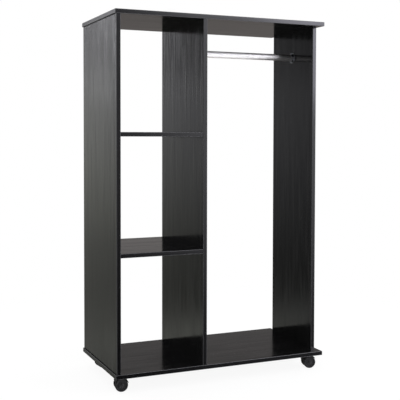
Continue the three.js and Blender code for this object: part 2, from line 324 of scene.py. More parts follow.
@dataclass(frozen=True)
class RawParticleboard:
    """The board's core where it is drilled: pressed wood chips, dry and uneven in tone."""

    pale: str = "#b89a6d"
    dark: str = "#7d5f3c"
    chip: float = 2.5  # width of a wood chip
    relief: float = 0.2
    roughness: float = 0.9

    def shader(self, tree: bpy.types.NodeTree) -> bpy.types.NodeSocket:
        """Fills the material's node tree.

        Args:
            tree: The empty tree.

        Returns:
            The shader's output.
        """
        place = add_node(tree, "TexCoord").outputs["Object"]
        chips = add_node(tree, "TexVoronoi", {}, {"Vector": place, "Scale": 1 / (self.chip * MM)})
        shade = add_node(tree, "SeparateXYZ", {}, {0: chips.outputs["Color"]})
        colour = add_node(tree, "Mix", {"data_type": "RGBA"},
                          {0: shade.outputs[0], 6: linear(self.pale), 7: linear(self.dark)})
        relief = add_node(tree, "Bump", {}, {
            "Height": shade.outputs[1], "Distance": self.relief * MM})
        shader = add_node(tree, "BsdfPrincipled", {}, {
            "Base Color": colour.outputs[2], "Roughness": self.roughness,
            "Normal": relief.outputs[0]})
        return shader.outputs[0]

    def material(self) -> bpy.types.Material:
        """The finish as a material."""
        return finished("drilled_particleboard", self.shader)


@dataclass(frozen=True)
class Metal:
    """A plated metal: the plating gives its tint and polish, and handling smears it faintly."""

    name: str
    colour: str
    worn: str
    roughness: float
    roughness_worn: float
    smear: float  # size of a smear
    relief: float
    drawn: float = 0.0  # how far fine scratches along X blur the mirror image across them
    sets_in: Point = (0.35, 0.7)  # the noise levels at which a smear starts and is full

    def shader(self, tree: bpy.types.NodeTree) -> bpy.types.NodeSocket:
        """Fills the material's node tree.

        Args:
            tree: The empty tree.

        Returns:
            The shader's output.
        """
        place = add_node(tree, "TexCoord").outputs["Object"]
        smears = add_node(tree, "TexNoise", {},
                          {"Vector": place, "Scale": 1 / (self.smear * MM), "Detail": 3.0})
        patch = add_node(tree, "MapRange", {"interpolation_type": "SMOOTHSTEP"},
                         {"Value": smears.outputs[0], "From Min": self.sets_in[0],
                          "From Max": self.sets_in[1]})
        colour = add_node(tree, "Mix", {"data_type": "RGBA"},
                          {0: patch.outputs[0], 6: linear(self.colour), 7: linear(self.worn)})
        roughness = add_node(tree, "MapRange", {}, {
            "Value": patch.outputs[0], "To Min": self.roughness, "To Max": self.roughness_worn})
        relief = add_node(tree, "Bump", {}, {
            "Height": smears.outputs[0], "Distance": self.relief * MM})
        shader = add_node(tree, "BsdfPrincipled", {}, {
            "Base Color": colour.outputs[2], "Metallic": 1.0, "Roughness": roughness.outputs[0],
            "Normal": relief.outputs[0], "Anisotropic": self.drawn})
        if self.drawn:
            around = add_node(tree, "Tangent", {"direction_type": "RADIAL", "axis": "X"})
            tree.links.new(around.outputs[0], shader.inputs["Tangent"])
        return shader.outputs[0]

    def material(self) -> bpy.types.Material:
        """The finish as a material."""
        return finished(self.name, self.shader)


# Bright chrome over drawn steel tube. Hangers slide along it and leave fine scratches, which
# spread its mirror image across the tube into soft pale bands
CHROMED_TUBE = Metal("bright_chromed_steel_tube", "#f4f3ef", "#edece8", 0.48, 0.52, 22, 0.0,
                     drawn=0.6)
# Chrome on die-cast zinc: a softer mirror, because the casting's skin isn't quite flat
CHROMED_CASTING = Metal("chromed_zinc_casting", "#aeb0b3", "#9a9c9f", 0.14, 0.22, 6, 0.01)
# Zinc-plated and blue-passivated steel: grey and satin, with a mottled bloom
ZINC_PLATED_STEEL = Metal("zinc_plated_steel", "#b4b8bc", "#93979b", 0.3, 0.42, 2.5, 0.01)
# Black-passivated pressed steel: a dark metal with a dull shine, scuffed paler on its high spots
BLACK_PASSIVATED_STEEL = Metal("black_passivated_steel", "#29292b", "#3a3a3c", 0.36, 0.5, 4, 0.02)


@dataclass(frozen=True)
class MouldedPlastic:
    """Black plastic from a spark-eroded mould: matt, with a fine grain that softens highlights."""

    name: str
    colour: str
    rubbed: str
    roughness: float
    grit: float = 1.6  # real grit is 0.05 mm, drawn coarser so that it shows from near by
    relief: float = 0.02
    rub_size: float = 8  # a rubbed patch is this many grits wide
    rub_roughness: float = 0.12
    sets_in: Point = (0.4, 0.7)  # the noise levels at which a rubbed patch starts and is full
    ior: float = 1.53

    def shader(self, tree: bpy.types.NodeTree) -> bpy.types.NodeSocket:
        """Fills the material's node tree.

        Args:
            tree: The empty tree.

        Returns:
            The shader's output.
        """
        place = add_node(tree, "TexCoord").outputs["Object"]
        grit = add_node(tree, "TexNoise", {},
                        {"Vector": place, "Scale": 1 / (self.grit * MM), "Detail": 2.0})
        rub = add_node(tree, "TexNoise", {}, {
            "Vector": place, "Scale": 1 / (self.grit * self.rub_size * MM), "Detail": 3.0})
        patch = add_node(tree, "MapRange", {"interpolation_type": "SMOOTHSTEP"},
                         {"Value": rub.outputs[0], "From Min": self.sets_in[0],
                          "From Max": self.sets_in[1]})
        colour = add_node(tree, "Mix", {"data_type": "RGBA"},
                          {0: patch.outputs[0], 6: linear(self.colour), 7: linear(self.rubbed)})
        roughness = add_node(tree, "MapRange", {}, {
            "Value": patch.outputs[0], "To Min": self.roughness,
            "To Max": self.roughness + self.rub_roughness})
        relief = add_node(tree, "Bump", {}, {
            "Height": grit.outputs[0], "Distance": self.relief * MM})
        shader = add_node(tree, "BsdfPrincipled", {}, {
            "Base Color": colour.outputs[2], "Roughness": roughness.outputs[0], "IOR": self.ior,
            "Normal": relief.outputs[0]})
        return shader.outputs[0]

    def material(self) -> bpy.types.Material:
        """The finish as a material."""
        return finished(self.name, self.shader)


# Nylon of the forks: dry and dark
FORK_NYLON = MouldedPlastic("moulded_black_nylon", "#060606", "#0a0a0a", 0.5)
# Polypropylene of the wheels' faces: a little greyer, with a waxy sheen
WHEEL_POLYPROPYLENE = MouldedPlastic("moulded_black_polypropylene", "#101011", "#171718", 0.44)
# The tread, dulled and greyed by the floor it runs on
RUN_IN_TREAD = MouldedPlastic("run_in_wheel_tread", "#161615", "#242322", 0.6, grit=2.4,
                              relief=0.05)
# Polyethylene caps over the fixings: soft and matt, a shade paler than the board round them
CAP_POLYETHYLENE = MouldedPlastic("moulded_black_polyethylene", "#1b1b1b", "#232323", 0.45)


class Solid:
    """A closed shape on its way to being a piece, in millimetres."""

    END_TURN = 1.2  # degrees over which a sweep's ends draw in

    def __init__(self, mesh: bmesh.types.BMesh) -> None:
        """Takes a closed mesh over and turns its faces outwards."""
        bmesh.ops.recalc_face_normals(mesh, faces=mesh.faces)
        self.mesh = mesh

    @classmethod
    def slab(cls, low: Vector, high: Vector, arris: float, butted: Optional[Axis]) -> "Solid":
        """Makes a box with rounded arrises.

        Args:
            low: The lowest corner.
            high: The highest corner.
            arris: The radius of its edges.
            butted: The axis whose two ends stand against other boards. Their edges stay sharp.

        Returns:
            The solid.
        """
        mesh = bmesh.new()
        bmesh.ops.create_cube(mesh, size=1.0)
        bmesh.ops.transform(mesh, verts=mesh.verts,
                            matrix=Matrix.LocRotScale((low + high) / 2, None, high - low))
        bare = [edge for edge in mesh.edges if butted is None
                or edge.verts[0].co[butted.value] != edge.verts[1].co[butted.value]]
        bmesh.ops.bevel(mesh, geom=bare, offset=arris, segments=3, profile=0.5, affect="EDGES")
        return cls(mesh)

    @classmethod
    def turned(cls, profile: Sequence[Point], facets: int = 48) -> "Solid":
        """Turns a profile about +Z.

        Args:
            profile: Radius and height of each corner. It starts and ends on the axis, or is a ring
                whose last corner joins its first.
            facets: How many facets go round.

        Returns:
            The solid.
        """
        mesh = bmesh.new()
        rings = []
        for radius, height in profile:
            if radius == 0:
                rings.append([mesh.verts.new((0, 0, height))] * facets)
            else:
                rings.append([mesh.verts.new((radius * math.cos(math.tau * i / facets),
                                              radius * math.sin(math.tau * i / facets), height))
                              for i in range(facets)])
        if profile[0][0] != 0:
            rings.append(rings[0])
        for one, two in zip(rings, rings[1:]):
            for i in range(facets):
                j = (i + 1) % facets
                corners = list(dict.fromkeys((one[i], one[j], two[j], two[i])))
                mesh.faces.new(corners)
        return cls(mesh)

    @classmethod
    def raised(
        cls, outline: Sequence[Point], low: float, high: float, edge: float = 0.0
    ) -> "Solid":
        """Raises a flat outline along Z.

        Args:
            outline: The outline's corners in X and Y.
            low: The height of the lower face.
            high: The height of the upper face.
            edge: The radius of the edges round both faces.

        Returns:
            The solid.
        """
        mesh = bmesh.new()
        lower = [mesh.verts.new((x, y, low)) for x, y in outline]
        upper = [mesh.verts.new((x, y, high)) for x, y in outline]
        mesh.faces.new(lower)
        mesh.faces.new(upper)
        for i in range(len(outline)):
            j = (i + 1) % len(outline)
            mesh.faces.new((lower[i], lower[j], upper[j], upper[i]))
        if edge:
            rims = [e for e in mesh.edges if e.verts[0].co.z == e.verts[1].co.z]
            bmesh.ops.bevel(mesh, geom=rims, offset=edge, segments=2, profile=0.5, affect="EDGES")
        return cls(mesh)

    @classmethod
    def swept(
        cls, section: Sequence[Point], start: float, end: float, steps: int, ease: float
    ) -> "Solid":
        """Sweeps a section round the Y axis, from +X towards +Z.

        Args:
            section: Radius and Y of each corner, in order round the section.
            start: The first angle, in degrees.
            end: The last angle, in degrees.
            steps: How many steps the sweep takes.
            ease: How far the section draws in at its two ends, which rounds them.

        Returns:
            The solid.
        """
        mesh = bmesh.new()
        middle = [sum(corner[part] for corner in section) / len(section) for part in (0, 1)]
        turns = [(start, ease), (start + cls.END_TURN, 0.0)]
        turns += [(start + (end - start) * i / steps, 0.0) for i in range(1, steps)]
        turns += [(end - cls.END_TURN, 0.0), (end, ease)]
        rings = []
        for angle, inset in turns:
            a = math.radians(angle)
            ring = []
            for radius, y in section:
                r = radius - math.copysign(min(inset, abs(radius - middle[0])), radius - middle[0])
                side = y - math.copysign(min(inset, abs(y - middle[1])), y - middle[1])
                ring.append(mesh.verts.new((r * math.cos(a), side, r * math.sin(a))))
            rings.append(ring)
        for one, two in zip(rings, rings[1:]):
            for i in range(len(section)):
                j = (i + 1) % len(section)
                mesh.faces.new((one[i], one[j], two[j], two[i]))
        mesh.faces.new(rings[0])
        mesh.faces.new(rings[-1])
        return cls(mesh)

    def moved(self, matrix: Matrix) -> "Solid":
        """Gives a copy that stands elsewhere.

        Args:
            matrix: Places the copy.

        Returns:
            The copy.
        """
        mesh = self.mesh.copy()
        bmesh.ops.transform(mesh, verts=mesh.verts, matrix=matrix)
        return Solid(mesh)

    def worked(self, others: Sequence["Solid"], joining: Joining) -> "Solid":
        """Joins other solids to this one or cuts them from it.

        Args:
            others: The solids to join or cut with.
            joining: Which of the two.

        Returns:
            The result as a new solid.
        """
        body = self._as_object("work")
        tools = [other._as_object("tool") for other in others]
        for tool in tools:
            step = body.modifiers.new("step", "BOOLEAN")
            step.operation = joining.value
            step.object = tool
            step.solver = "EXACT"
        evaluated = body.evaluated_get(bpy.context.evaluated_depsgraph_get())
        data = bpy.data.meshes.new_from_object(evaluated)
        result = bmesh.new()
        result.from_mesh(data)
        bpy.data.meshes.remove(data)
        for used in (body, *tools):
            used_data = used.data
            bpy.data.objects.remove(used)
            bpy.data.meshes.remove(used_data)
        return Solid(result)

    def _as_object(self, name: str) -> bpy.types.Object:
        """Links a copy of the mesh into the scene.

        Args:
            name: The object's name.

        Returns:
            The object.
        """
        data = bpy.data.meshes.new(name)
        self.mesh.to_mesh(data)
        made = bpy.data.objects.new(name, data)
        bpy.context.scene.collection.objects.link(made)
        return made

    def piece(
        self,
        name: str,
        finishes: Sequence[bpy.types.Material],
        body: str,
        slot: str,
        nodes: Sequence[str] = (),
        sharp: float = 32.0,
    ) -> bpy.types.Object:
        """Turns the solid into a finished piece of the wardrobe.

        Args:
            name: The piece's name.
            finishes: Its materials, in the order of the faces' material numbers.
            body: The CAD body that it rides on.
            slot: The record's material slot. It is not used.
            nodes: The CAD nodes that it stands for.
            sharp: Edges that turn by more than this many degrees stay sharp.

        Returns:
            The piece.
        """
        made = self._as_object(name)
        made.data.name = name
        made.data.transform(Matrix.Scale(MM, 4))
        for finish in finishes:
            made.data.materials.append(finish)
        made.data.shade_smooth()
        made.data.set_sharp_from_angle(angle=math.radians(sharp))
        level = made.modifiers.new("level_flats", "WEIGHTED_NORMAL")
        level.keep_sharp = True
        level.weight = 100
        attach(made, body)
        if nodes:
            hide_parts(*nodes)
        return made


def node_box(node: str) -> tuple[Vector, Vector]:
    """Gives a CAD node's lowest and highest corners, in millimetres."""
    low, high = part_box(node)
    return low / MM, high / MM


def arc(centre: Point, radius: float, start: float, end: float, steps: int) -> list[Point]:
    """Gives points along an arc.

    Args:
        centre: The arc's centre.
        radius: Its radius.
        start: The first angle, in degrees.
        end: The last angle, in degrees.
        steps: How many steps the arc takes.

    Returns:
        The points, both ends included.
    """
    angles = [math.radians(start + (end - start) * i / steps) for i in range(steps + 1)]
    return [(centre[0] + radius * math.cos(a), centre[1] + radius * math.sin(a)) for a in angles]


@dataclass
class PanScrew:
    """A pan-head screw with a cross recess, made about +Z with its seat at height 0."""

    length: float = 12
    radius: float = 2
    head_radius: float = 2.8
    head_height: float = 1.8
    dome_radius: float = 0.95
    chamfer: float = 0.15
    tip: float = 3
    recess_length: float = 3.2
    recess_width: float = 0.7
    recess_depth: float = 1.1
    clearance: float = 0.3

    def solid(self) -> Solid:
        """Makes the screw.

        Returns:
            The solid.
        """
        head, height = self.head_radius, self.head_height
        turn, chamfer = self.dome_radius, self.chamfer
        dome = arc((head - turn, -height + turn), turn, 270, 360, 5)
        body = Solid.turned([(0, -height), *dome, (head, -chamfer), (head - chamfer, 0),
                             (self.radius, 0), (self.radius, self.length - self.tip),
                             (0, self.length)], facets=32)
        long, wide = self.recess_length / 2, self.recess_width / 2
        outline = [(long, -wide), (long, wide), (wide, wide), (wide, long), (-wide, long),
                   (-wide, wide), (-long, wide), (-long, -wide), (-wide, -wide), (-wide, -long),
                   (wide, -long), (wide, -wide)]
        recess = Solid.raised(outline, -height - PAST, -height + self.recess_depth)
        return body.worked([recess], Joining.DIFFERENCE)

    def hole(self) -> Solid:
        """Makes the hole that it stands in.

        Returns:
            The hole, as a cutter.
        """
        reach = self.length + self.clearance
        wide = self.radius + self.clearance
        return Solid.turned([(0, -PAST), (wide, -PAST), (wide, reach), (0, reach)], facets=24)

    def place(self, node: str, towards: Vector) -> Matrix:
        """Finds where the CAD has this screw.

        Args:
            node: The screw's CAD node.
            towards: The direction in which it was driven, along an axis of the frame.

        Returns:
            The matrix that places the solid there.
        """
        low, high = node_box(node)
        middle = (low + high) / 2
        head = Vector(low[i] if towards[i] > 0 else high[i] if towards[i] < 0 else middle[i]
                      for i in range(3))
        turn = Vector((0, 0, 1)).rotation_difference(towards).to_matrix().to_4x4()
        return Matrix.Translation(head + towards * self.head_height) @ turn


@dataclass
class LongScrew:
    """A countersunk furniture screw with a hexagon socket, about +Z with its head at height 0."""

    length: float = 50
    radius: float = 3.5
    head_radius: float = 5
    chamfer: float = 0.2
    rim: float = 0.8
    tip: float = 4
    socket_radius: float = 2.3
    socket_depth: float = 3
    clearance: float = 0.3

    def solid(self) -> Solid:
        """Makes the screw.

        Returns:
            The solid.
        """
        head, cone = self.head_radius, self.head_radius - self.radius
        body = Solid.turned([(0, 0), (head - self.chamfer, 0), (head, self.chamfer),
                             (head, self.rim), (self.radius, self.rim + cone),
                             (self.radius, self.length - self.tip), (0, self.length)], facets=36)
        hexagon = arc((0, 0), self.socket_radius, 0, 300, 5)
        socket = Solid.raised(hexagon, -PAST, self.socket_depth)
        return body.worked([socket], Joining.DIFFERENCE)

    def hole(self) -> Solid:
        """Makes the countersunk hole that it stands in.

        Returns:
            The hole, as a cutter.
        """
        head, shank = self.head_radius + self.clearance, self.radius + self.clearance
        shoulder = self.rim + self.clearance
        reach = self.length + self.clearance
        cone = self.head_radius - self.radius
        return Solid.turned([(0, -PAST), (head, -PAST), (head, shoulder),
                             (shank, shoulder + cone), (shank, reach), (0, reach)], facets=36)

    def place(self, node: str) -> Matrix:
        """Finds where the CAD has this screw, which is always driven upwards.

        Args:
            node: The screw's CAD node.

        Returns:
            The matrix that places the solid there.
        """
        low, high = node_box(node)
        return Matrix.Translation(((low.x + high.x) / 2, (low.y + high.y) / 2, low.z))


@dataclass
class Cabinet:
    """The seven boards, the long screws under them, and the caps and covers of their fixings."""

    arris: float = 1.5
    cap_radius: float = 6
    cap_height: float = 1.2
    cap_from_edge: float = 60
    cover_radius: float = 7.6
    cover_height: float = 1.0
    cover_from_end: float = 34
    cover_from_edge: float = 55
    recess_clearance: float = 0.15

    LEVEL = 0.999  # a face whose normal has a part above this lies square in the frame
    TOUCH = 0.01  # less than this apart counts as touching
    SKIN_DEPTH = 0.6  # faces deeper than this many arrises belong to a hole
    SIDES = ("left", "right")
    ENDS = ("front", "rear")
    # Each board's CAD node, its grain, and the axis whose two ends stand against other boards
    BOARDS = {
        "top_board": ("top_panel", Grain.LENGTHWISE, None),
        "base_board": ("base_panel", Grain.LENGTHWISE, None),
        "left_side_board": ("left_side_panel", Grain.UPRIGHT, Axis.Z),
        "divider_board": ("divider_panel", Grain.UPRIGHT, Axis.Z),
        "right_side_board": ("right_side_panel", Grain.UPRIGHT, Axis.Z),
        "lower_shelf_board": ("lower_shelf", Grain.LENGTHWISE, Axis.X),
        "upper_shelf_board": ("upper_shelf", Grain.LENGTHWISE, Axis.X),
    }
    UPRIGHTS = {"left": "left_side_panel", "divider": "divider_panel", "right": "right_side_panel"}

    def build(self, screws: dict[str, Matrix]) -> list[bpy.types.Object]:
        """Builds the boards and what belongs to them.

        Args:
            screws: Where the small screws stand, by CAD node.

        Returns:
            Its pieces.
        """
        long_screw = LongScrew()
        solid, long_hole = long_screw.solid(), long_screw.hole()
        pieces, holes = [], []
        for upright in self.UPRIGHTS:
            for end in self.ENDS:
                node = f"long_screw_{upright}_{end}"
                place = long_screw.place(node)
                holes.append(long_hole.moved(place))
                pieces.append(solid.moved(place).piece(
                    f"furniture_screw_{upright}_{end}", [ZINC_PLATED_STEEL.material()], "cabinet",
                    "zinc_steel", [node]))
        small_hole = PanScrew().hole()
        holes += [small_hole.moved(place) for place in screws.values()]
        for made, recesses in (self._caps(), self._covers()):
            pieces += made
            holes += recesses
        pieces += [self._board(name, *facts, holes) for name, facts in self.BOARDS.items()]
        return pieces

    def _board(
        self, name: str, node: str, grain: Grain, butted: Optional[Axis], holes: Sequence[Solid]
    ) -> bpy.types.Object:
        """Builds a board: laminate on its faces, edge band round them with a painted highlight on
        its arrises, raw core in its holes.

        Args:
            name: The piece's name.
            node: The CAD node that gives its size and place.
            grain: Which way the grain runs.
            butted: The axis whose two ends stand against other boards.
            holes: Every hole in the wardrobe; those that reach into this board are drilled.

        Returns:
            The piece.
        """
        low, high = node_box(node)
        board = Solid.slab(low, high, self.arris, butted)
        reaching = [hole for hole in holes if self._reaches(hole, low, high)]
        if reaching:
            board = board.worked(reaching, Joining.DIFFERENCE)
        thin = min(range(3), key=lambda axis: high[axis] - low[axis])
        for face in board.mesh.faces:
            middle = face.calc_center_median()
            depth = min(min(middle[i] - low[i], high[i] - middle[i]) for i in range(3))
            if depth < self.TOUCH and abs(face.normal[thin]) > self.LEVEL:
                skin = Skin.FACE
            elif depth > self.arris * self.SKIN_DEPTH:
                skin = Skin.CORE
            elif max(abs(part) for part in face.normal) > self.LEVEL:
                skin = Skin.BAND
            else:
                skin = Skin.ARRIS
            face.material_index = skin.value
        # The arrises take the paler finish: a painted highlight along each rounded edge
        finishes = [WoodGrainLaminate(grain).material(), EXTRUDED_BAND.material(),
                    RawParticleboard().material(), PAINTED_ARRIS_HIGHLIGHT.material()]
        return board.piece(name, finishes, "cabinet", "laminate_board", [node])

    def _reaches(self, hole: Solid, low: Vector, high: Vector) -> bool:
        """Tells whether a hole's box overlaps a board's box.

        Args:
            hole: The hole.
            low: The board's lowest corner.
            high: The board's highest corner.

        Returns:
            Whether they overlap.
        """
        corners = [vertex.co for vertex in hole.mesh.verts]
        return all(min(c[i] for c in corners) < high[i] - self.TOUCH
                   and max(c[i] for c in corners) > low[i] + self.TOUCH for i in range(3))

    def _caps(self) -> tuple[list[bpy.types.Object], list[Solid]]:
        """Builds the round caps, flush in the top, over the screws that hold it to the uprights.

        Returns:
            The caps, and the recesses that they sit in, as cutters.
        """
        top = node_box("top_panel")[1].z
        caps, recesses = [], []
        for upright, node in self.UPRIGHTS.items():
            low, high = node_box(node)
            x = (low.x + high.x) / 2
            depths = (low.y + self.cap_from_edge, high.y - self.cap_from_edge)
            for end, y in zip(self.ENDS, depths):
                place = Matrix.Translation((x, y, top))
                caps.append(self._disc(self.cap_radius, self.cap_height).moved(place).piece(
                    f"screw_cap_{upright}_{end}", [CAP_POLYETHYLENE.material()], "cabinet",
                    "caster_plastic"))
                recesses.append(self._recess(self.cap_radius, self.cap_height).moved(place))
        return caps, recesses

    def _covers(self) -> tuple[list[bpy.types.Object], list[Solid]]:
        """Builds the covers of the cam fittings in the undersides of the shelves.

        Returns:
            The covers, and the recesses that they sit in, as cutters.
        """
        flip = Matrix.Rotation(math.pi, 4, "X")
        covers, recesses = [], []
        for shelf in ("lower_shelf", "upper_shelf"):
            low, high = node_box(shelf)
            breadths = (low.x + self.cover_from_end, high.x - self.cover_from_end)
            depths = (low.y + self.cover_from_edge, high.y - self.cover_from_edge)
            for (side, x), (end, y) in product(zip(self.SIDES, breadths), zip(self.ENDS, depths)):
                place = Matrix.Translation((x, y, low.z)) @ flip
                covers.append(self._disc(self.cover_radius, self.cover_height).moved(place).piece(
                    f"cam_cover_{shelf}_{side}_{end}", [CAP_POLYETHYLENE.material()], "cabinet",
                    "caster_plastic"))
                recesses.append(self._recess(self.cover_radius, self.cover_height).moved(place))
        return covers, recesses

    def _disc(self, radius: float, height: float) -> Solid:
        """Makes a slightly domed disc whose crown is just under height 0.

        Args:
            radius: The disc's radius.
            height: How thick it is.

        Returns:
            The solid.
        """
        # The crown falls away slowly, then turns down at its edge
        crown = [(0, -0.05), (radius * 0.4, -0.09), (radius * 0.75, -0.2), (radius - 0.35, -0.34),
                 (radius, -0.65)]
        return Solid.turned([*crown, (radius, -height), (0, -height)], facets=40)

    def _recess(self, radius: float, height: float) -> Solid:
        """Makes the cutter for a disc's recess, open at height 0.

        Args:
            radius: The disc's radius.
            height: How thick the disc is.

        Returns:
            The cutter.
        """
        wide, deep = radius + self.recess_clearance, -height - self.recess_clearance
        return Solid.turned([(0, PAST), (wide, PAST), (wide, deep), (0, deep)], facets=40)


@dataclass
class HangingRail:
    """The chromed rail, its two flanges and their screws."""

    wall: float = 1.2
    outer_chamfer: float = 0.3
    inner_chamfer: float = 0.2
    flange_radius: float = 21
    flange_thickness: float = 2
    dish_thickness: float = 0.5
    rim_radius: float = 0.5
    boss_radius: float = 3.4
    boss_height: float = 1.7
    boss_chamfer: float = 0.2
    collar_wall: float = 1.5
    collar_length: float = 9
    lip_radius: float = 0.6
    rail_clearance: float = 0.3
    spot_depth: float = 5

    FLANGES = {"left": Vector((-1, 0, 0)), "right": Vector((1, 0, 0))}
    LEVELS = ("upper", "lower")

    def screw_places(self) -> dict[str, Matrix]:
        """Finds where the flanges' screws stand.

        Returns:
            Their places by CAD node.
        """
        screw, places = PanScrew(), {}
        for (side, towards), level in product(self.FLANGES.items(), self.LEVELS):
            node = f"flange_screw_{side}_{level}"
            places[node] = screw.place(node, towards)
        return places

    def build(self, screws: dict[str, Matrix]) -> list[bpy.types.Object]:
        """Builds the rail, the flanges and the screws.

        Args:
            screws: Where the small screws stand, by CAD node.

        Returns:
            Its pieces.
        """
        low, high = node_box("hanging_rail")
        radius, half, middle = (high.z - low.z) / 2, (high.x - low.x) / 2, (low + high) / 2
        pieces = [self._tube(radius, half, middle)]
        screw_solid = PanScrew().solid()
        for side, towards in self.FLANGES.items():
            low, high = node_box(f"rail_flange_{side}")
            back = Vector((high.x if towards.x > 0 else low.x, middle.y, middle.z))
            turn = Vector((0, 0, 1)).rotation_difference(towards).to_matrix().to_4x4()
            place = Matrix.Translation(back) @ turn
            nodes = [f"flange_screw_{side}_{level}" for level in self.LEVELS]
            seats = [place.inverted() @ screws[node] for node in nodes]
            pieces.append(self._flange(radius, seats).moved(place).piece(
                f"{side}_rail_flange", [CHROMED_CASTING.material()], "cabinet", "chrome_flange",
                [f"rail_flange_{side}"]))
            for level, node in zip(self.LEVELS, nodes):
                pieces.append(screw_solid.moved(screws[node]).piece(
                    f"{side}_flange_screw_{level}", [ZINC_PLATED_STEEL.material()], "cabinet",
                    "zinc_steel", [node]))
        return pieces

    def _tube(self, radius: float, half: float, middle: Vector) -> bpy.types.Object:
        """Builds the tube, with chamfered ends.

        Args:
            radius: Its outer radius.
            half: Half its length.
            middle: Where its middle is.

        Returns:
            The piece.
        """
        inner, out, into = radius - self.wall, self.outer_chamfer, self.inner_chamfer
        tube = Solid.turned([(inner, -half + into), (inner + into, -half), (radius - out, -half),
                             (radius, -half + out), (radius, half - out), (radius - out, half),
                             (inner + into, half), (inner, half - into)], facets=96)
        lay = Matrix.Translation(middle) @ Matrix.Rotation(math.pi / 2, 4, "Y")
        return tube.moved(lay).piece("chromed_rail", [CHROMED_TUBE.material()], "cabinet",
                                     "chrome_tube", ["hanging_rail"])

    def _flange(self, rail_radius: float, seats: Sequence[Matrix]) -> Solid:
        """Makes a flange with its screws' bosses, their seats spot-faced and their holes drilled.

        Args:
            rail_radius: The rail's outer radius.
            seats: Where its screws stand.

        Returns:
            The solid, about +Z with its back at height 0.
        """
        wide, height, chamfer = self.boss_radius, self.boss_height, self.boss_chamfer
        boss = Solid.turned([(0, 0), (wide - chamfer, 0), (wide, chamfer), (wide, height),
                             (0, height)], facets=32)
        deep = -self.spot_depth
        spot = Solid.turned([(0, 0), (wide, 0), (wide, deep), (0, deep)], facets=32)
        bosses = [boss.moved(seat) for seat in seats]
        cuts = [cutter.moved(seat) for seat in seats for cutter in (spot, PanScrew().hole())]
        flange = self._dish(rail_radius).worked(bosses, Joining.UNION)
        return flange.worked(cuts, Joining.DIFFERENCE)

    def _dish(self, rail_radius: float) -> Solid:
        """Makes a flange's dished disc about +Z, its back at height 0 and its collar towards -Z.

        Args:
            rail_radius: The rail's outer radius.

        Returns:
            The solid.
        """
        seat = rail_radius + self.rail_clearance
        collar = seat + self.collar_wall
        turn, lip_turn = self.rim_radius, self.lip_radius
        rim = arc((self.flange_radius - turn, turn - self.flange_thickness), turn, 0, -104, 5)
        fillet = arc((collar + turn, -self.dish_thickness - turn), turn, 90, 180, 4)
        lip = arc((collar - lip_turn, -self.collar_length + lip_turn), lip_turn, 0, -90, 4)
        return Solid.turned([(seat, 0), (self.flange_radius, 0), *rim, *fillet, *lip,
                             (seat, -self.collar_length)], facets=96)


